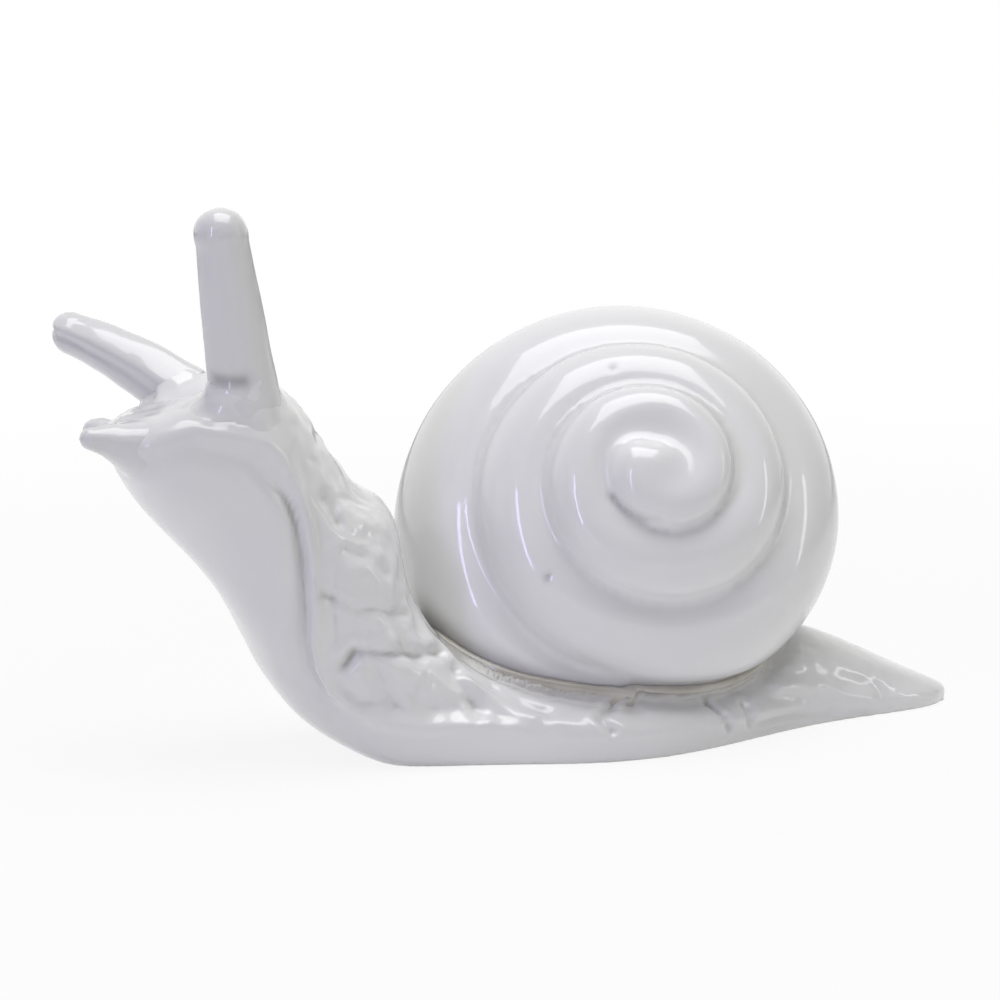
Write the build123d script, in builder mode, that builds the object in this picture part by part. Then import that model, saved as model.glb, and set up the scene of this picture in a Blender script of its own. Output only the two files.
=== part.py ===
"""Snail figurine of slip-cast, glazed porcelain, in millimetres.

A body casting (foot, neck and head), hollow in the neck, carries a hollow, wound shell that is luted
into a saddle in its back. Two pairs of tentacles are rolled by themselves and set into sockets in the
head; a collar of slip closes the joint around each upper tentacle.
The head looks along -X, the tail points along +X, +Y is the animal's right and +Z is up.
The origin lies on the flat sole's centre line, below the middle of the shell.
"""

import os
from math import cos, pi, radians, sin

from build123d import *

os.makedirs("parts", exist_ok=True)

# Casting: the wall, the slip in the shell's joint and around a stalk, and the overrun of a cut
wall = 3.2
slip_thickness = 0.6
slip_film = 0.2
cut_overrun = 1.0

# Foot: a leaf-shaped sole with a rounded skirt, below the back that carries the shell
foot_fore = 40.0
foot_aft = 44.5
foot_width = 36.0
skirt_height = 3.4
back_height = 12.0
sole_sink = 0.8

# Neck and head
neck_length = 30.0
neck_rise = 41.0
neck_depth = 23.0
neck_width = 23.0
head_depth = 19.0
head_width = 21.0

# Drain hole in the sole, and the air channel between the two hollows
drain_diameter = 5.0
drain_ahead = 33.5
drain_depth = 12.0
vent_diameter = 2.4
vent_height = 8.8
vent_fore = 37.0

# Shell: a tube that grows by one pitch in each turn and is wound on a dome, with its place in shares
# of its radius
whorl_pitch = 8.2
shell_radius = 32.32
first_radius = 5.4
dome_drop = 1.0
seat_height = 5.0
nucleus_radius = 3.3
nucleus_sink = 0.35
columella_radius = 2.4
hollow_radius = 9.6
axis_turn = 13.0
axis_lift = 27.0
mouth_angle = 262.0
tube_share = 0.485
apex_ahead_share = 0.1516
apex_left_share = 0.5755
apex_rise_share = 1.0241
columella_share = 1.114
vent_aft_share = 0.526
span_count = 7
rings_per_span = 6

# Upper tentacles: tapered stalks in the crown, the left one upright with a ball at its tip
left_root_radius = 4.4
left_stalk_radius = 3.05
left_tip_radius = 3.25
left_length = 20.3
left_crown_ahead = 53.4
left_heading = 50.0
left_pitch = 74.0
right_root_radius = 4.1
right_stalk_radius = 2.5
right_tip_radius = 2.55
right_length = 17.0
right_crown_ahead = 55.8
right_heading = -44.0
right_pitch = 32.0
right_tip_pitch = 16.0
crown_spacing = 11.5
crown_height = 43.0
crown_socket_depth = 2.0

# Collar of slip around an upper tentacle's root
collar_radius = 1.0
collar_sink = 0.6
collar_spread = 0.1

# Lower tentacles: short cones beside the mouth
lower_root_radius = 2.7
lower_tip_radius = 1.4
lower_left_length = 3.1
lower_right_length = 0.5
lower_socket_depth = 1.5
mouth_ahead = 62.5
mouth_spacing = 5.5
mouth_height = 40.2
lower_heading = 14.0
lower_pitch = 11.0

# Place along the foot from the tail tip; shares of half width, back and skirt; fullness of the back
foot_shares = [
    (0.006, 0.12, 0.17, 0.34, 0.72),
    (0.04, 0.26, 0.31, 0.50, 0.72),
    (0.18, 0.42, 0.76, 0.70, 0.71),
    (0.34, 0.63, 1.05, 0.90, 0.70),
    (0.48, 0.90, 0.94, 1.00, 0.71),
    (0.61, 1.02, 0.84, 1.00, 0.73),
    (0.79, 0.82, 0.92, 1.10, 0.73),
]
# Shares of the reach and rise; lean in degrees; shares of depth, half width and rim; squareness; fullness
neck_shares = [
    (-0.10, -0.004, 15.0, 0.91, 1.10, 0.26, 0.40, 0.72),
    (0.178, 0.108, 24.8, 1.20, 1.04, 0.36, 0.10, 0.72),
    (0.43, 0.395, 30.7, 1.065, 0.98, 0.43, 0.00, 0.72),
    (0.62, 0.61, 37.3, 0.99, 0.95, 0.46, 0.00, 0.74),
]
head_shares = [
    (0.82, 0.775, 40.8, 1.09, 1.02, 0.46, 0.00, 0.79),
    (0.93, 0.895, 39.3, 0.59, 0.90, 0.48, 0.00, 0.79),
    (0.985, 0.970, 36.0, 0.26, 0.64, 0.50, 0.00, 0.76),
    (1.010, 1.005, 34.0, 0.13, 0.36, 0.50, 0.00, 0.72),
]
# Where the sole's curve passes between centre line and rim, and places along a tentacle's stalk
round_sole_share = 0.72
square_sole_share = 0.18
sole_lift_share = 0.3
stalk_shares = (0.0, 0.35, 0.7, 1.0)


def section(plane, half_width, depth, rim, squareness, fullness):
    """One cross-section of the body: the sole below the two rims and the back above them."""
    sole_side = (round_sole_share + square_sole_share * squareness) * half_width
    sole_lift = sole_lift_share * (1 - squareness) * rim
    back_side = fullness * half_width
    back_lift = rim + fullness * (depth - rim)
    rim_left = (-half_width, rim)
    rim_right = (half_width, rim)
    with BuildSketch(plane) as outline:
        with BuildLine():
            Spline(rim_left, (-sole_side, sole_lift), (0, 0), (sole_side, sole_lift), rim_right)
            Spline(rim_right, (back_side, back_lift), (0, depth), (-back_side, back_lift), rim_left)
        make_face()
    return outline.sketch


def foot_sections():
    """Upright cross-sections from the tail to the front of the foot, sunk below the resting plane."""
    sections = []
    for along, wide, high, rim, fullness in foot_shares:
        place = (foot_aft - along * (foot_fore + foot_aft), 0, -sole_sink)
        plane = Plane(origin=place, x_dir=(0, 1, 0), z_dir=(1, 0, 0))
        depth = high * back_height + sole_sink
        skirt = rim * skirt_height + sole_sink
        sections.append(section(plane, wide * foot_width / 2, depth, skirt, 1, fullness))
    return sections


def neck_sections(shares, full_depth, full_width, inset):
    """Cross-sections that lean back on the rising neck, drawn in by an inset all round."""
    sections = []
    for ahead, rise, lean, deep, wide, rim, squareness, fullness in shares:
        tilt = radians(lean)
        upward = Vector(sin(tilt), 0, cos(tilt))
        place = Vector(-foot_fore - ahead * neck_length, 0, rise * neck_rise) + upward * inset
        plane = Plane(origin=place, x_dir=(0, 1, 0), z_dir=(cos(tilt), 0, -sin(tilt)))
        depth = deep * full_depth - 2 * inset
        half_width = wide * full_width / 2 - inset
        sections.append(section(plane, half_width, depth, rim * depth, squareness, fullness))
    return sections


def shell_frame():
    """The shell's own frame: its origin is the apex and its Z axis points out of the spire."""
    turn = radians(axis_turn)
    lift = radians(axis_lift)
    outward = Vector(-sin(turn) * cos(lift), -cos(turn) * cos(lift), sin(lift))
    apex_height = seat_height + apex_rise_share * shell_radius
    apex = (-apex_ahead_share * shell_radius, -apex_left_share * shell_radius, apex_height)
    return Plane(origin=apex, x_dir=(cos(turn), -sin(turn), 0), z_dir=outward)


def whorl(turns):
    """Centre distance, tube radius and height of the whorl, after that many turns from the apex."""
    reach = whorl_pitch * turns
    tube = reach * tube_share
    return reach - tube, tube, -dome_drop * turns**2 - tube


def whorl_plane(turns):
    """The plane through the shell's axis in which the whorl's cross-section lies."""
    centre, tube, height = whorl(turns)
    angle = 2 * pi * (turns - shell_radius / whorl_pitch) + radians(mouth_angle)
    frame = shell_frame()
    outward = frame.x_dir * cos(angle) + frame.y_dir * sin(angle)
    ahead = frame.y_dir * cos(angle) - frame.x_dir * sin(angle)
    return Plane(origin=frame.origin + outward * centre + frame.z_dir * height, x_dir=outward, z_dir=ahead)


def whorl_ring(turns, grow):
    with BuildSketch(whorl_plane(turns)) as ring:
        Circle(whorl(turns)[1] + grow)
    return ring.sketch


def wind(grow, start_radius, seat):
    """The wound tube as one solid, grown all round by an amount and cut flat at its seat."""
    last = shell_radius / whorl_pitch
    last += grow / (2 * pi * whorl(last)[0])
    first = start_radius / whorl_pitch
    step = (last - first) / (span_count * rings_per_span)
    with BuildPart() as wound:
        for span in range(span_count):
            start = first + span * rings_per_span * step
            loft([whorl_ring(start + ring * step, grow) for ring in range(rings_per_span + 1)])
        with Locations(whorl_plane(first).origin):
            Sphere(whorl(first)[1] + grow)
        split(bisect_by=Plane.XY.offset(seat), keep=Keep.TOP)
    return wound.part


def bearing(heading, pitch):
    """A direction given by an angle to the animal's left of straight ahead, and its pitch."""
    level = cos(radians(pitch))
    return Vector(-cos(radians(heading)) * level, -sin(radians(heading)) * level, sin(radians(pitch)))


def leaves_body(seat, direction):
    """Where an axis that starts inside the head leaves it, and the surface's normal there."""
    crossings = form.part.find_intersection_points(Axis(seat, direction))
    return max(crossings, key=lambda crossing: (crossing[0] - seat).dot(direction))


def tentacle(root, first_bearing, last_bearing, length, root_radius, stalk_radius, tip_radius):
    """A stalk that tapers along a bent path and ends in a ball."""
    bend = root + first_bearing * (length / 2)
    tip = bend + last_bearing * (length / 2)
    path = Bezier(root, bend, tip)
    rings = []
    for share in stalk_shares:
        with BuildSketch(Plane(origin=path @ share, z_dir=path % share)) as ring:
            Circle(root_radius + share * (stalk_radius - root_radius))
        rings.append(ring.sketch)
    with BuildPart() as stalk:
        loft(rings)
        with Locations(tip):
            Sphere(tip_radius)
    return stalk.part


def lower_tentacle(side, length):
    """A short cone beside the mouth, on the animal's left (1) or right (-1)."""
    direction = bearing(side * lower_heading, lower_pitch)
    seat = Vector(-mouth_ahead, -side * mouth_spacing / 2, mouth_height)
    root = leaves_body(seat, direction)[0] - direction * lower_socket_depth
    reach = length + lower_socket_depth
    return tentacle(root, direction, direction, reach, lower_root_radius, lower_tip_radius, lower_tip_radius)


def slip_collar(crown, normal, root, direction, root_radius, stalk_radius, length):
    """A ring of slip around a tentacle's root, less the stalk's taper and the head."""
    with BuildPart() as ring:
        with Locations(Plane(origin=crown - normal * collar_sink, z_dir=normal)):
            Torus(root_radius + collar_spread, collar_radius)
        with Locations(Plane(origin=root, z_dir=direction)):
            Cone(
                2 * root_radius - stalk_radius + slip_film,
                stalk_radius + slip_film,
                2 * length,
                mode=Mode.SUBTRACT,
            )
        add(form.part, mode=Mode.SUBTRACT)
    return ring.part


# The full form of the body, before anything is let into it
with BuildPart() as form:
    neck = neck_sections(neck_shares, neck_depth, neck_width, 0)
    head = neck_sections(head_shares, head_depth, head_width, 0)
    loft([*foot_sections(), *neck, *head])
    split(bisect_by=Plane.XY, keep=Keep.TOP)

# The hollow of the neck
with BuildPart() as neck_hollow:
    loft(neck_sections(neck_shares, neck_depth, neck_width, wall))

# The air channel from the shell's hollow into the neck's
vent_aft = vent_aft_share * shell_radius
with BuildPart() as vent:
    with BuildSketch(Plane(origin=(-vent_aft, 0, vent_height), z_dir=(-1, 0, 0))):
        Circle(vent_diameter / 2)
    extrude(amount=vent_fore - vent_aft)

# The wound shell, and the bed that is one layer of slip larger
frame = shell_frame()
shell_solid = wind(0, first_radius, seat_height)
bed_radius = slip_thickness / (1 - 2 * tube_share)
shell_bed = wind(slip_thickness, bed_radius, seat_height - slip_thickness)

# Upper tentacles, each along its own axis out of the crown
left_bearing = bearing(left_heading, left_pitch)
left_seat = Vector(-left_crown_ahead, -crown_spacing / 2, crown_height)
left_crown, left_normal = leaves_body(left_seat, left_bearing)
left_root = left_crown - left_bearing * crown_socket_depth
left_reach = left_length + crown_socket_depth

with BuildPart() as upper_tentacle_left:
    left_radii = (left_root_radius, left_stalk_radius, left_tip_radius)
    add(tentacle(left_root, left_bearing, left_bearing, left_reach, *left_radii))

right_bearing = bearing(right_heading, right_pitch)
right_tip_bearing = bearing(right_heading, right_tip_pitch)
right_seat = Vector(-right_crown_ahead, crown_spacing / 2, crown_height)
right_crown, right_normal = leaves_body(right_seat, right_bearing)
right_root = right_crown - right_bearing * crown_socket_depth
right_reach = right_length + crown_socket_depth

with BuildPart() as upper_tentacle_right:
    right_radii = (right_root_radius, right_stalk_radius, right_tip_radius)
    add(tentacle(right_root, right_bearing, right_tip_bearing, right_reach, *right_radii))

# Lower tentacles beside the mouth
with BuildPart() as lower_tentacle_left:
    add(lower_tentacle(1, lower_left_length))

with BuildPart() as lower_tentacle_right:
    add(lower_tentacle(-1, lower_right_length))

# The collars around the roots of the upper tentacles
with BuildPart() as upper_collar_left:
    left_taper = (left_root_radius, left_stalk_radius, left_reach)
    add(slip_collar(left_crown, left_normal, left_root, left_bearing, *left_taper))

with BuildPart() as upper_collar_right:
    right_taper = (right_root_radius, right_stalk_radius, right_reach)
    add(slip_collar(right_crown, right_normal, right_root, right_bearing, *right_taper))

# The body with its hollow, the shell's saddle, the channel, the drain hole and the tentacles' sockets
with BuildPart() as body:
    add(form.part)
    add(neck_hollow.part, mode=Mode.SUBTRACT)
    add(shell_bed, mode=Mode.SUBTRACT)
    add(vent.part, mode=Mode.SUBTRACT)
    with BuildSketch(Plane.XY.offset(-cut_overrun)):
        with Locations((-drain_ahead, 0)):
            Circle(drain_diameter / 2)
    extrude(amount=drain_depth + cut_overrun, mode=Mode.SUBTRACT)
    add(upper_tentacle_left.part, mode=Mode.SUBTRACT)
    add(upper_tentacle_right.part, mode=Mode.SUBTRACT)
    add(lower_tentacle_left.part, mode=Mode.SUBTRACT)
    add(lower_tentacle_right.part, mode=Mode.SUBTRACT)

# The shell: the wound tube with a smooth nucleus and a solid pillar, hollowed to its wall
with BuildPart() as shell:
    add(shell_solid)
    with Locations(frame.origin - frame.z_dir * (nucleus_radius + nucleus_sink)):
        Sphere(nucleus_radius)
    with BuildSketch(frame.offset(-nucleus_radius)):
        Circle(columella_radius)
    extrude(amount=-columella_share * shell_radius)
    add(wind(-wall, hollow_radius, seat_height + wall), mode=Mode.SUBTRACT)
    add(vent.part, mode=Mode.SUBTRACT)

# The layer of slip that fills the saddle around the shell
with BuildPart() as shell_slip_joint:
    add(form.part)
    add(shell_bed, mode=Mode.INTERSECT)
    add(shell_solid, mode=Mode.SUBTRACT)
    add(vent.part, mode=Mode.SUBTRACT)

body.part.label = "body"
export_step(body.part, "parts/body.step")
shell.part.label = "shell"
export_step(shell.part, "parts/shell.step")
shell_slip_joint.part.label = "shell_slip_joint"
export_step(shell_slip_joint.part, "parts/shell_slip_joint.step")
upper_tentacle_left.part.label = "upper_tentacle_left"
export_step(upper_tentacle_left.part, "parts/upper_tentacle_left.step")
upper_tentacle_right.part.label = "upper_tentacle_right"
export_step(upper_tentacle_right.part, "parts/upper_tentacle_right.step")
lower_tentacle_left.part.label = "lower_tentacle_left"
export_step(lower_tentacle_left.part, "parts/lower_tentacle_left.step")
lower_tentacle_right.part.label = "lower_tentacle_right"
export_step(lower_tentacle_right.part, "parts/lower_tentacle_right.step")
upper_collar_left.part.label = "upper_collar_left"
export_step(upper_collar_left.part, "parts/upper_collar_left.step")
upper_collar_right.part.label = "upper_collar_right"
export_step(upper_collar_right.part, "parts/upper_collar_right.step")
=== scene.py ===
"""Looks of a slip-cast porcelain snail: white body and shell under one clear, glossy glaze."""

import math

import bmesh
import bpy
import numpy as np
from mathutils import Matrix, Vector, noise
from mathutils.bvhtree import BVHTree


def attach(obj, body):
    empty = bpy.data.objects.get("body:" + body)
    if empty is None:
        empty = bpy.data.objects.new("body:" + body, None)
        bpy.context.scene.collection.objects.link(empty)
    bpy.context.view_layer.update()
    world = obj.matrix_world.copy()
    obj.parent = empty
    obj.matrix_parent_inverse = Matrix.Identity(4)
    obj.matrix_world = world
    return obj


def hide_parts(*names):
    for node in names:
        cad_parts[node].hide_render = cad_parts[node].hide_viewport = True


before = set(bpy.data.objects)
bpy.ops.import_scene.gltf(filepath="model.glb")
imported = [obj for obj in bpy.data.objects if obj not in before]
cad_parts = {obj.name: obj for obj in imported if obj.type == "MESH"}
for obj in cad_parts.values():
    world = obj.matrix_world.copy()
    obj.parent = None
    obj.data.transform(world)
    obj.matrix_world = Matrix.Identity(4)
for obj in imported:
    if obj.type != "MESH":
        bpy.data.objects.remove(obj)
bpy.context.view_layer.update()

# Body: foot, neck and head in one porcelain casting. The sole's margin is smooth and turns up along
# the neck as a rim; above it the skin is modelled in plates with soft creases. The glaze rounds every
# edge and pools in the creases, and it is wiped off where the foot stands in the kiln. Its colour is
# painted darker in the creases and hollows and in a band beside the shell, as shade, with a faint tint.
mm = 0.001
noise.seed_set(11)


def cast_skin(node, voxel, rounds):
    """A copy of a CAD node, made active, remeshed evenly and softened as glaze softens a casting."""
    bpy.ops.object.select_all(action="DESELECT")
    piece = bpy.data.objects.new(node + "_glazed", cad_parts[node].data.copy())
    piece.data.materials.clear()
    bpy.context.scene.collection.objects.link(piece)
    bpy.context.view_layer.objects.active = piece
    piece.select_set(True)
    bpy.ops.object.mode_set(mode="EDIT")
    bpy.ops.mesh.select_all(action="SELECT")
    bpy.ops.mesh.remove_doubles(threshold=0.005 * mm)
    bpy.ops.object.mode_set(mode="OBJECT")
    even_out(piece, voxel, rounds)
    return piece


def even_out(piece, voxel, rounds):
    """Gives the active piece one even mesh and softens it."""
    even = piece.modifiers.new("even", "REMESH")
    even.mode = "VOXEL"
    even.voxel_size = voxel * mm
    bpy.ops.object.modifier_apply(modifier="even")
    soft = piece.modifiers.new("soft", "SMOOTH")
    soft.factor = 0.5
    soft.iterations = rounds
    bpy.ops.object.modifier_apply(modifier="soft")
    bpy.ops.object.shade_smooth()


def soften(piece, centre, outer, inner, rounds):
    """Smooths the active piece around a place, fully in the inner radius and not past the outer one."""
    group = piece.vertex_groups.new(name="soft_place")
    away = np.linalg.norm(points_of(piece)[0] - np.array(centre), axis=1)
    for i, weight in enumerate(fade(outer, inner, away)):
        if weight > 0:
            group.add([i], float(weight), "REPLACE")
    soft = piece.modifiers.new("soft_place", "SMOOTH")
    soft.vertex_group = "soft_place"
    soft.factor = 0.5
    soft.iterations = rounds
    bpy.ops.object.modifier_apply(modifier="soft_place")


def points_of(piece):
    """The piece's points and normals, in millimetres."""
    count = len(piece.data.vertices)
    points, normals = np.empty(count * 3), np.empty(count * 3)
    piece.data.vertices.foreach_get("co", points)
    piece.data.vertices.foreach_get("normal", normals)
    return points.reshape(-1, 3) / mm, normals.reshape(-1, 3)


def push(piece, lift):
    """Moves each point along its normal, by an amount in millimetres."""
    points, normals = points_of(piece)
    piece.data.vertices.foreach_set("co", ((points + normals * lift[:, None]) * mm).ravel())
    piece.data.update()


def fade(low, high, value):
    """Rises smoothly from 0 at low to 1 at high."""
    share = np.clip((value - low) / (high - low), 0, 1)
    return share * share * (3 - 2 * share)


def bell(distance, width):
    return np.exp(-((distance / width) ** 2))


def line_distance(points, line):
    """Each point's distance from a line through the given places."""
    shortest = np.full(len(points), 1e9)
    for start, end in zip(np.array(line[:-1]), np.array(line[1:])):
        along = end - start
        share = np.clip(((points - start) @ along) / (along @ along), 0, 1)
        shortest = np.minimum(shortest, np.linalg.norm(points - start - share[:, None] * along, axis=1))
    return shortest


def rim_side(points, line):
    """Distance from the rim, seen from the side: above zero on the back, below zero on the sole's side."""
    shortest, side = np.full(len(points), 1e9), np.ones(len(points))
    flat = points[:, [0, 2]]
    for start, end in zip(np.array(line[:-1]), np.array(line[1:])):
        along = end - start
        share = np.clip(((flat - start) @ along) / (along @ along), 0, 1)
        away = flat - start - share[:, None] * along
        distance = np.linalg.norm(away, axis=1)
        closer = distance < shortest
        shortest = np.where(closer, distance, shortest)
        side = np.where(closer, np.sign(along[0] * away[:, 1] - along[1] * away[:, 0]), side)
    return shortest * side


def surface_of(piece):
    """A piece's surface, to measure from and to cast rays at."""
    mesh = piece.data
    return BVHTree.FromPolygons([v.co for v in mesh.vertices], [p.vertices[:] for p in mesh.polygons])


def nearest(node, points):
    """Each point's distance in millimetres from a CAD node's surface, and the direction towards it."""
    tree = surface_of(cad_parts[node])
    away = np.array([tree.find_nearest(Vector(p))[0][:] for p in points * mm]) / mm - points
    distance = np.linalg.norm(away, axis=1)
    return distance, away / np.maximum(distance, 0.001)[:, None]


def lumps(points, size):
    """Soft seeded noise between -1 and 1, with lumps of a size in millimetres."""
    return np.array([noise.noise(Vector(p)) for p in points / size])


def plates(points, size):
    """How far each point is from the nearest crease between skin plates of a size in millimetres."""
    gaps = np.empty(len(points))
    for i, p in enumerate(points / size):
        near = noise.voronoi(Vector(p))[0]
        gaps[i] = near[1] - near[0]
    return gaps


def depth_of(piece, reach):
    """How far each point lies below its neighbours out to a number of edges, in millimetres."""
    points, normals = points_of(piece)
    edges = np.empty(len(piece.data.edges) * 2, int)
    piece.data.edges.foreach_get("vertices", edges)
    ends = edges.reshape(-1, 2)
    here, there = np.concatenate([ends, ends[:, ::-1]]).T
    ties = np.maximum(np.bincount(here, minlength=len(points)), 1)
    wide = points
    for _ in range(reach):
        wide = np.stack([np.bincount(here, wide[there, k], len(points)) / ties for k in range(3)], axis=1)
    return ((wide - points) * normals).sum(1)


def mark_shade_and_pools(piece, shallow, full, extra_shade=0):
    """Marks hollows and the extra mask for painted shade, where the glaze also gathers: 1 where a point lies
    a full depth below its neighbours.
    """
    pooled_shade = np.maximum(fade(shallow, full, depth_of(piece, 6)), extra_shade)
    glaze_pool_shade = piece.data.attributes.new("glaze_pool_shade", "FLOAT", "POINT")
    glaze_pool_shade.data.foreach_set("value", pooled_shade.astype(np.float32))


def linear(hex_colour):
    """An sRGB hex colour as linear red, green, blue and alpha."""
    parts = [int(hex_colour[i : i + 2], 16) / 255 for i in (1, 3, 5)]
    return [p / 12.92 if p <= 0.04045 else ((p + 0.055) / 1.055) ** 2.4 for p in parts] + [1]


def add_node(tree, kind, settings=None, **links):
    """Adds a node, with settings on itself or its sockets by name, and links into its sockets."""
    made = tree.nodes.new("ShaderNode" + kind)
    for name, value in (settings or {}).items():
        if hasattr(made, name) and name not in made.inputs:
            setattr(made, name, value)
        else:
            made.inputs[int(name) if name.isdigit() else name].default_value = value
    for name, source in links.items():
        socket = int(name[1:]) if name[1:].isdigit() else name.replace("_", " ")
        tree.links.new(source, made.inputs[socket])
    return made


def glazed_porcelain(name, white, cool, pool_and_shade_colour, dry=None):
    """Porcelain under a clear glaze: a white body, faint drifts of tone, and painted shade where the mask
    marks hollows and seams, with a faint tint where glaze pools. The glaze is smooth like glass, with a slow
    waviness of about 7 mm and a fine orange peel of 1.2 mm."""
    material = bpy.data.materials.new(name)
    material.use_nodes = True
    tree = material.node_tree
    shader = tree.nodes["Principled BSDF"]
    shader.inputs["IOR"].default_value = 1.5
    shader.inputs["Coat Weight"].default_value = 1.0
    shader.inputs["Coat Roughness"].default_value = 0.07
    shader.inputs["Coat IOR"].default_value = 1.5
    place = add_node(tree, "TexCoord").outputs["Object"]
    drift = add_node(tree, "TexNoise", {"Scale": 1 / (22 * mm), "Detail": 2.0}, Vector=place)
    whites = {"data_type": "RGBA", "6": linear(white), "7": linear(cool)}
    tone = add_node(tree, "Mix", whites, _0=drift.outputs["Fac"])
    # Painted shade: the colour darkens towards a grey where the mask marks hollows and seams
    pool_and_shade_mask = add_node(tree, "Attribute", {"attribute_name": "glaze_pool_shade"})
    pooled_shade = {"data_type": "RGBA", "7": linear(pool_and_shade_colour)}
    colour = add_node(tree, "Mix", pooled_shade, _0=pool_and_shade_mask.outputs["Fac"], _6=tone.outputs[2])
    peel = add_node(tree, "TexNoise", {"Scale": 1 / (1.2 * mm), "Detail": 2.0}, Vector=place)
    gloss = add_node(tree, "MapRange", {"To Min": 0.29, "To Max": 0.4}, Value=drift.outputs["Fac"])
    colour_out, gloss_out = colour.outputs[2], gloss.outputs["Result"]
    if dry:
        height = add_node(tree, "SeparateXYZ", Vector=place)
        wander = {"From Min": 0.25, "From Max": 0.75, "To Min": -0.08 * mm, "To Max": 0.08 * mm}
        edge = add_node(tree, "MapRange", wander, Value=peel.outputs["Fac"]).outputs["Result"]
        ragged = add_node(tree, "Math", {"operation": "ADD"}, _0=height.outputs["Z"], _1=edge).outputs[0]
        wiped = {"From Min": 0.3 * mm, "From Max": 0.12 * mm}
        bare = add_node(tree, "MapRange", wiped, Value=ragged).outputs["Result"]
        unglazed = {"data_type": "RGBA", "7": linear(dry)}
        colour_out = add_node(tree, "Mix", unglazed, _0=bare, _6=colour_out).outputs[2]
        gloss_out = add_node(tree, "Mix", {"3": 0.8}, _0=bare, _2=gloss_out).outputs[0]
    wave = add_node(tree, "TexNoise", {"Scale": 1 / (7 * mm), "Detail": 0.0}, Vector=place)
    slow = add_node(tree, "Bump", {"Strength": 0.25, "Distance": 0.25 * mm}, Height=wave.outputs["Fac"])
    orange_peel = {"Strength": 0.12, "Distance": 0.03 * mm}
    fine = add_node(tree, "Bump", orange_peel, Height=peel.outputs["Fac"], Normal=slow.outputs["Normal"])
    tree.links.new(colour_out, shader.inputs["Base Color"])
    tree.links.new(gloss_out, shader.inputs["Roughness"])
    tree.links.new(fine.outputs["Normal"], shader.inputs["Normal"])
    tree.links.new(slow.outputs["Normal"], shader.inputs["Coat Normal"])
    return material


body = cast_skin("body", 0.4, 6)
soften(body, (-69.5, 0.0, 41.6), 10.0, 5.0, 40)
# The rim as seen from the side, from the mouth's corner down the neck and along the foot to the tail
rim_line = [
    (-68.1, 41.0), (-64.9, 42.4), (-60.9, 43.2), (-57.4, 42.5), (-53.2, 41.0), (-50.9, 38.6), (-49.5, 35.4),
    (-48.3, 31.4), (-47.7, 27.1), (-47.5, 22.2), (-47.3, 17.1), (-46.6, 13.5), (-45.1, 10.3), (-42.6, 7.8),
    (-39.4, 6.0), (-35.6, 5.0), (-28.0, 4.6), (-20.7, 4.6), (-12.4, 4.1), (-4.8, 3.4), (4.4, 3.0),
    (14.8, 2.6), (26.8, 1.6), (44.0, 0.6),
]
# Folds and grooves of the skin on the animal's left, with their depth and width; the right has their like
skin_folds = [
    (0.45, 0.55, [(-46.2, -11.5, 22.9), (-42.9, -12.2, 21.7), (-38.8, -12.0, 20.3), (-35.1, -9.6, 19.1)]),
    (0.40, 0.55, [(-43.2, -11.4, 27.7), (-41.1, -11.4, 26.5), (-37.7, -10.5, 24.4)]),
    (0.85, 0.75, [
        (-43.4, -11.7, 13.6), (-42.1, -11.9, 15.4), (-38.6, -12.5, 15.0), (-34.3, -11.0, 14.3),
        (-30.2, -8.4, 13.8),
    ]),
    (0.30, 0.60, [(-44.4, -11.6, 27.0), (-44.8, -11.6, 22.1), (-44.3, -11.6, 17.2)]),
    (0.60, 0.80, [(-45.1, -9.6, 34.0), (-43.6, -10.1, 31.5)]),
    (0.50, 0.70, [(-39.5, -12.4, 13.4), (-38.6, -12.4, 10.6), (-37.4, -12.5, 8.3)]),
    (-0.40, 0.80, [(-42.6, -11.8, 12.7), (-41.1, -11.9, 10.4)]),
    (0.45, 0.70, [(-28.5, -9.3, 11.8), (-28.3, -11.3, 9.5), (-26.5, -12.7, 6.9)]),
    (-0.60, 0.70, [(-28.0, -10.4, 10.5), (-24.3, -12.0, 8.0), (-19.8, -14.1, 6.2)]),
    (0.60, 0.55, [(-9.2, -14.2, 7.6), (-12.0, -16.2, 5.8), (-10.9, -17.6, 4.1)]),
    (0.60, 0.55, [(3.9, -13.8, 7.1), (4.8, -15.1, 5.0), (6.4, -15.2, 2.9)]),
    (0.50, 0.55, [(9.4, -13.2, 5.4), (9.8, -13.8, 3.3)]),
    (-0.50, 0.80, [(15.2, -10.7, 6.3), (23.4, -8.7, 4.5), (29.9, -7.5, 2.3)]),
    (0.40, 0.70, [(9.9, -13.7, 2.6), (16.6, -11.0, 2.1), (23.4, -8.8, 1.6)]),
]
points, normals = points_of(body)
x, y, z = points.T
left = points * np.where(points[:, [1]] > 0, (1, -1, 1), (1, 1, 1))
side = rim_side(points, rim_line)
rough = lumps(points, 4.5)
to_shell, shellward = nearest("shell", points)
on_neck = fade(7, 12, z) * fade(-36, -42, x)
on_head = fade(33, 38, z)
on_tail = fade(8, 22, x)
flank = 0.25 + 0.75 * fade(0.3, 0.75, np.abs(normals[:, 1]))
# The back of the neck is flatter than the casting's main form, and its flank swells above the foot
on_back = fade(0.1, 0.5, normals @ np.array((0.7, 0.0, 0.7)))
lift = -1.5 * on_back * bell(np.hypot(x + 38.0, z - 34.8), 3.6)
lift += 1.0 * bell(np.linalg.norm(left - np.array((-52.0, -10.0, 18.0)), axis=1), 6.0)
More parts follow.
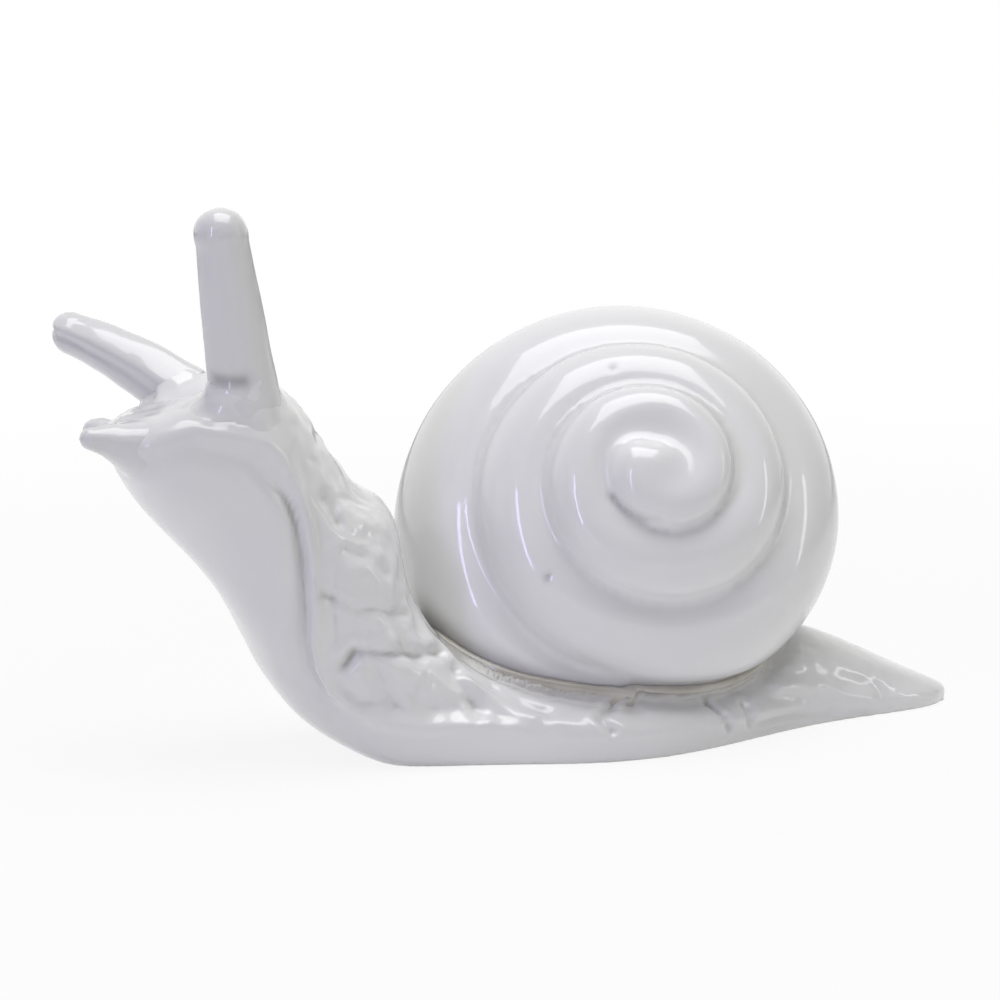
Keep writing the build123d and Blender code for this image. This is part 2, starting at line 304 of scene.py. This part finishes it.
# The raised rim of the neck and the cheek, and the ledge above the foot's smooth margin
rim_width = 0.6 + 0.8 * on_head
rim_height = on_neck * (1 - 0.5 * on_head)
rim_hollow = 0.8 * bell(side + 1.3 * rim_width, 1.1 * rim_width)
lift += rim_height * (1.0 * bell(side - 0.5, rim_width) - rim_hollow)
lift += on_neck * (1 - on_head) * 0.3 * bell(side + 3.4, 1.2)
on_ledge = (1 - on_neck) * (1 - 0.65 * fade(-21, -12, x))
lift += on_ledge * (0.6 * bell(side - 0.7, 0.9) - 0.7 * bell(side - 3.0, 1.5))
lift += on_ledge * bell(side - 1.9, 1.6) * (0.5 * lumps(points + 70, 2.4) + 0.3 * rough)
# Skin with soft creases between plates and small lumps, flatter on the head, the back and the tail
creases = plates(points + 0.9 * rough[:, None], np.array((7.0, 6.0, 6.5)))
skin = fade(3.0, 5.0, side) * flank * (1 - 0.6 * on_head) * (1 - 0.7 * on_tail)
lift += skin * (0.1 - 0.38 * bell(creases, 0.2) + 0.36 * lumps(points + 40, 2.4))
lift += on_head * fade(0, 3, side) * 0.35 * lumps(points + 90, 2.8) + 0.08 * lumps(points + 60, 9.0)
drawn = left + 0.7 * lumps(points + 20, 5.0)[:, None]
for depth, width, line in skin_folds:
    distance = line_distance(drawn, line)
    lift += depth * (0.3 * bell(distance - 2.4 * width, 1.2 * width) - 0.85 * bell(distance, width))
# Smooth clay around the roots of the tentacles, and the trough beside the shell
for node in ("upper_collar_left", "upper_collar_right", "lower_tentacle_left", "lower_tentacle_right"):
    lift *= fade(0.3, 2.5, nearest(node, points)[0])
outside = 1 - fade(0.3, 0.8, (normals * shellward).sum(1))
lift -= 1.3 * outside * fade(26, 18, z) * bell(to_shell - 1.8, 1.6) * fade(0.3, 1.3, to_shell)
lift += 0.4 * outside * bell(to_shell - 0.5, 0.7)
push(body, lift * fade(0.3, 1.6, z))
# Painted shade: the colour darkens in the skin's creases and hollows and in a band beside the shell
mark_shade_and_pools(body, 0.08, 0.5, bell(to_shell - 0.5, 1.3))
body_glaze = glazed_porcelain("glazed_porcelain_body", "#EAEAE9", "#E4E4E4", "#BFBDB8", dry="#D9D3C8")
body.data.materials.append(body_glaze)
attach(body, "root")
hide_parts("body")

# Shell: a second casting, wound in about four whorls. It comes out of a two-part mould with soft
# sutures, and the thick glaze rounds them further. A few pinholes opened in the glaze while it fired.
shell = cast_skin("shell", 0.49, 22)
soften(shell, (-4.9, -18.6, 38.1), 8.5, 5.0, 100)
first_suture = [
    (-10.4, -16.0, 33.3), (-9.5, -16.7, 32.2), (-8.5, -17.6, 31.5), (-7.2, -18.5, 30.8), (-5.6, -19.5, 30.7),
]
pinholes = [(-17.4, -12.3, 23.1), (-6.0, -4.9, 47.6), (12.0, 20.0, 30.0), (-14.0, 14.0, 38.0)]
points = points_of(shell)[0]
swell = depth_of(shell, 150)
swell -= np.median(swell)
to_body = nearest("body", points)[0]
lift = 0.1 * lumps(points, 9.0) - 0.45 * bell(line_distance(points, first_suture), 0.7)
lift -= fade(0.5, 3.0, to_body) * np.clip(0.9 * swell, -0.7, 0.7)
# Painted shade: a band along the seam with the body, and the sutures and hollows, are coloured darker; the
# pinholes are real dark specks
shade_and_pinholes = bell(to_body - 0.4, 1.3)
for centre in pinholes:
    hole = bell(np.linalg.norm(points - np.array(centre), axis=1), 0.5)
    lift -= 0.25 * hole
    shade_and_pinholes = np.maximum(shade_and_pinholes, hole)
push(shell, lift)
mark_shade_and_pools(shell, 0.05, 0.4, shade_and_pinholes)
shell.data.materials.append(glazed_porcelain("glazed_porcelain_shell", "#EEEEEE", "#E8E8E8", "#BDBCBE"))
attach(shell, "root")
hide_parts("shell")

# Slip joint: clay slip squeezed out between shell and body when the two were pressed together. It
# stands out as a smooth, uneven bead, and the glaze on it is thick and a little yellow. Its colour is
# also painted darker than the body, as the seam's shade, and darker again in its hollows and in random
# patches.
slip_joint = cast_skin("shell_slip_joint", 0.25, 2)
points = points_of(slip_joint)[0]
push(slip_joint, 0.4 + 0.2 * lumps(points, 5.0))
even_out(slip_joint, 0.28, 10)
points = points_of(slip_joint)[0]
# Painted shade in the bead's hollows, and darker random patches
mark_shade_and_pools(slip_joint, 0.05, 0.3, fade(-0.4, 0.4, lumps(points, 7.0)))
slip_joint.data.materials.append(glazed_porcelain("glazed_slip", "#D3D0C6", "#CAC7BE", "#B5B1A6"))
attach(slip_joint, "root")
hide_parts("shell_slip_joint")

# Tentacles: rolled stalks of the same clay, set into sockets in the head while wet. The upper left one
# has a ball at its tip; the upper right one was drawn out with a tool, which left ridges along it.
crease_line = [(-58.4, -9.0, 49.0), (-57.2, -10.6, 49.0), (-55.2, -11.4, 49.0)]
# Root, axis, and the height, width and swelling of the foot of clay at each lower tentacle
short_stalks = {
    "lower_tentacle_left": ((-69.5, -4.4, 41.6), (-0.938, -0.247, 0.245), 2.4, 5.0, 0.7),
    "lower_tentacle_right": ((-69.5, 4.4, 41.6), (-0.938, 0.247, 0.245), 0.8, 3.0, 0.3),
}


def flare(root, axis, stalk, ground, height, width, swell, lean):
    """A ring of clay drawn from a stalk's side down onto the ground around it, as a closed mesh.
    The root is the axis's place on the ground; all sizes are in millimetres. The ring swells on the side
    that the lean points to, and is half as large on the other."""
    rings, steps = 72, 12
    root, axis = Vector(root) * mm, Vector(axis).normalized()
    across = axis.orthogonal().normalized()
    stalk_side, ground_top = surface_of(stalk), surface_of(ground)
    places, faces = [], []
    for i in range(rings):
        turn = 2 * math.pi * i / rings
        out = across * math.cos(turn) + axis.cross(across) * math.sin(turn)
        full = max(0.0, out.dot(lean)) if lean else 1.0
        rise, bulge = height * (0.5 + 0.5 * full) * mm, swell * full * mm
        top = stalk_side.ray_cast(root + axis * rise + out * 12 * mm, -out)[0]
        corner = ground_top.ray_cast(top + out * 0.9 * mm, -axis, 2 * rise)[0]
        if corner is None:
            corner = ground_top.find_nearest(top - axis * rise)[0]
        corner += axis * bulge + out * (bulge - 0.5 * mm)
        foot, upright = ground_top.find_nearest(corner + out * width * (0.5 + 0.5 * full) * mm)[:2]
        top, foot = top - out * 0.2 * mm, foot - upright * 0.3 * mm
        places.append(corner - (out + axis) * (1.2 * mm + bulge))
        for step in range(steps + 1):
            t = step / steps
            places.append(top * (1 - t) ** 2 + corner * (2 * t * (1 - t)) + foot * t**2)
        count = steps + 2
        a, b = i * count, (i + 1) % rings * count
        for k in range(count):
            n = (k + 1) % count
            faces.append((a + k, a + n, b + n, b + k))
    mesh = bpy.data.meshes.new("flare")
    mesh.from_pydata(places, [], faces)
    return mesh


def join(piece, mesh):
    """Adds another mesh to a piece."""
    both = bmesh.new()
    both.from_mesh(piece.data)
    both.from_mesh(mesh)
    both.to_mesh(piece.data)
    both.free()


for node, voxel, rounds in (
    ("upper_tentacle_left", 0.35, 10),
    ("upper_tentacle_right", 0.35, 8),
    ("lower_tentacle_left", 0.25, 6),
    ("lower_tentacle_right", 0.25, 6),
):
    stalk = cast_skin(node, voxel, rounds)
    if node in short_stalks:
        root, axis, *foot_sizes = short_stalks[node]
        points = points_of(stalk)[0]
        along = (points - np.array(root)) @ np.array(axis)
        spoke = points - np.array(root) - along[:, None] * np.array(axis)
        points -= spoke * (0.35 * fade(0.3, -1.2, along))[:, None]
        stalk.data.vertices.foreach_set("co", (points * mm).ravel())
        stalk.data.update()
        join(stalk, flare(root, axis, stalk, body, *foot_sizes, None))
        even_out(stalk, voxel, 6)
    points, normals = points_of(stalk)
    lift = 0.14 * lumps(points + len(node), 4.0)
    shade_and_pinholes = 0
    # Painted shade: a crease around the upper left stalk, grooved and coloured darker
    if node == "upper_tentacle_left":
        shade_and_pinholes = bell(line_distance(points, crease_line), 0.8)
        lift -= 0.5 * shade_and_pinholes
    if node == "upper_tentacle_right":
        across = normals @ np.array((-0.35, -0.45, 0.82))
        lift += 0.35 * bell(across - 0.8, 0.14) - 0.3 * bell(across - 0.5, 0.16)
    push(stalk, lift)
    # Painted shade in the stalk's hollows and crease
    mark_shade_and_pools(stalk, 0.06, 0.4, shade_and_pinholes)
    stalk.data.materials.append(
        bpy.data.materials.get("glazed_porcelain_tentacle")
        or glazed_porcelain("glazed_porcelain_tentacle", "#E2E2E2", "#DCDCDC", "#B9B8B7")
    )
    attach(stalk, "root")
    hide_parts(node)

# Collars: a coil of soft clay pressed around the root of each upper tentacle and drawn smoothly onto the
# head with a wet finger. A short crease is left in front of the upright tentacle, above a lumpy patch.
rearward = Vector((0.61, -0.61, 0.5))
for node, root, axis, *sizes in (
    ("upper_collar_left", (-53.6, -6.8, 46.2), (-0.177, -0.211, 0.961), 3.5, 3.5, 0.0, None),
    ("upper_collar_right", (-58.4, 9.0, 44.3), (-0.246, 0.45, 0.858), 3.2, 4.5, 1.2, rearward),
):
    collar = bpy.data.objects.new(node + "_glazed", bpy.data.meshes.new(node))
    bpy.context.scene.collection.objects.link(collar)
    bpy.ops.object.select_all(action="DESELECT")
    bpy.context.view_layer.objects.active = collar
    collar.select_set(True)
    stalk = bpy.data.objects[node.replace("collar", "tentacle") + "_glazed"]
    join(collar, flare(root, axis, stalk, body, *sizes))
    even_out(collar, 0.25, 12)
    points = points_of(collar)[0]
    crease = line_distance(points, crease_line)
    push(collar, 0.18 * lumps(points, 2.4) + 0.5 * bell(crease - 1.9, 1.2) - 0.5 * bell(crease, 0.8))
    # Painted shade: the collar's hollows and the crease in front of the upright tentacle are coloured darker
    mark_shade_and_pools(collar, 0.05, 0.3, bell(crease, 0.8))
    collar.data.materials.append(body_glaze)
    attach(collar, "root")
    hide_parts(node)

# Studio: a white sweep, a soft box overhead, a tall window at the animal's head side and a weak fill
# on the tail's side. The floor is white to the eye and keeps a faint shadow.
bpy.ops.object.select_all(action="DESELECT")
bpy.ops.mesh.primitive_plane_add(size=8)
floor = bpy.context.object
floor.name = "white_sweep"
sweep = bpy.data.materials.new("matt_white_paper")
sweep.use_nodes = True
tree = sweep.node_tree
paper = tree.nodes["Principled BSDF"]
paper.inputs["Base Color"].default_value = linear("#F2F2F2")
paper.inputs["Roughness"].default_value = 0.9
paper.inputs["Specular IOR Level"].default_value = 0.1
rays = add_node(tree, "LightPath")
place = add_node(tree, "TexCoord").outputs["Object"]
away = add_node(tree, "VectorMath", {"operation": "LENGTH"}, Vector=place).outputs["Value"]
shadow_fade = {"From Min": 0.08, "From Max": 0.3, "To Min": 0.88, "To Max": 1.0}
plain = add_node(tree, "MapRange", shadow_fade, Value=away).outputs["Result"]
mirror_fade = {"From Min": 0.1, "From Max": 0.6, "To Min": 0.8, "To Max": 0.0}
mirrored = add_node(tree, "MapRange", mirror_fade, Value=away)
direct = add_node(tree, "Math", {"operation": "MULTIPLY"}, _0=rays.outputs["Is Camera Ray"], _1=plain)
share = add_node(
    tree,
    "Math",
    {"operation": "MULTIPLY_ADD"},
    _0=rays.outputs["Is Glossy Ray"],
    _1=mirrored.outputs["Result"],
    _2=direct.outputs[0],
)
glow = add_node(tree, "Emission", {"Strength": 1.0})
blend = add_node(tree, "MixShader", {}, _0=share.outputs[0], _1=paper.outputs[0], _2=glow.outputs[0])
tree.links.new(blend.outputs[0], tree.nodes["Material Output"].inputs["Surface"])
floor.data.materials.append(sweep)

world = bpy.data.worlds.new("white_room")
bpy.context.scene.world = world
world.use_nodes = True
tree = world.node_tree
room = tree.nodes["Background"]
room.inputs["Color"].default_value = linear("#F4F4F2")
room.inputs["Strength"].default_value = 0.3
backdrop = add_node(tree, "Background", {"Color": linear("#FFFFFF"), "Strength": 1.0})
rays = add_node(tree, "LightPath")
direction = add_node(tree, "SeparateXYZ", Vector=add_node(tree, "TexCoord").outputs["Generated"])
behind = add_node(tree, "MapRange", {"From Min": 0.0, "From Max": 0.7}, Value=direction.outputs["Y"])
seen = add_node(
    tree,
    "Math",
    {"operation": "MULTIPLY_ADD"},
    _0=rays.outputs["Is Glossy Ray"],
    _1=behind.outputs["Result"],
    _2=rays.outputs["Is Camera Ray"],
)
blend = add_node(tree, "MixShader", {}, _0=seen.outputs[0], _1=room.outputs[0], _2=backdrop.outputs[0])
tree.links.new(blend.outputs[0], tree.nodes["World Output"].inputs["Surface"])

middle = Vector((0, 0, 0.03))
for name, watts, colour, wide, high, at in (
    ("soft_box", 2.5, "#FFFFFF", 0.5, 0.5, (-0.02, -0.06, 0.62)),
    ("window", 0.6, "#CFC8FF", 0.05, 0.4, (-0.56, -0.34, 0.21)),
    ("fill", 0.25, "#FFFFFF", 0.05, 0.4, (0.56, -0.34, 0.24)),
):
    lamp = bpy.data.lights.new(name, "AREA")
    lamp.shape = "RECTANGLE"
    lamp.size, lamp.size_y = wide, high
    lamp.energy = watts
    lamp.color = linear(colour)[:3]
    holder = bpy.data.objects.new(name, lamp)
    holder.location = at
    holder.rotation_euler = (Vector(at) - middle).to_track_quat("Z", "Y").to_euler()
    bpy.context.scene.collection.objects.link(holder)

# Camera: the photograph's, 20 degrees ahead of the animal's left side and 10 degrees up, at 0.35 m.
heading, height = math.radians(-20), math.radians(10)
level = math.cos(height)
backward = Vector((math.sin(heading) * level, -math.cos(heading) * level, math.sin(height)))
look_at, distance = Vector((-0.01925, 0, 0.0308)), 0.3516
lens = bpy.data.cameras.new("camera")
lens.lens, lens.sensor_width = 100, 36
camera = bpy.data.objects.new("camera", lens)
camera.location = look_at + backward * distance
camera.rotation_euler = backward.to_track_quat("Z", "Y").to_euler()
bpy.context.scene.collection.objects.link(camera)
bpy.context.scene.camera = camera
bpy.context.scene.view_settings.view_transform = "Standard"
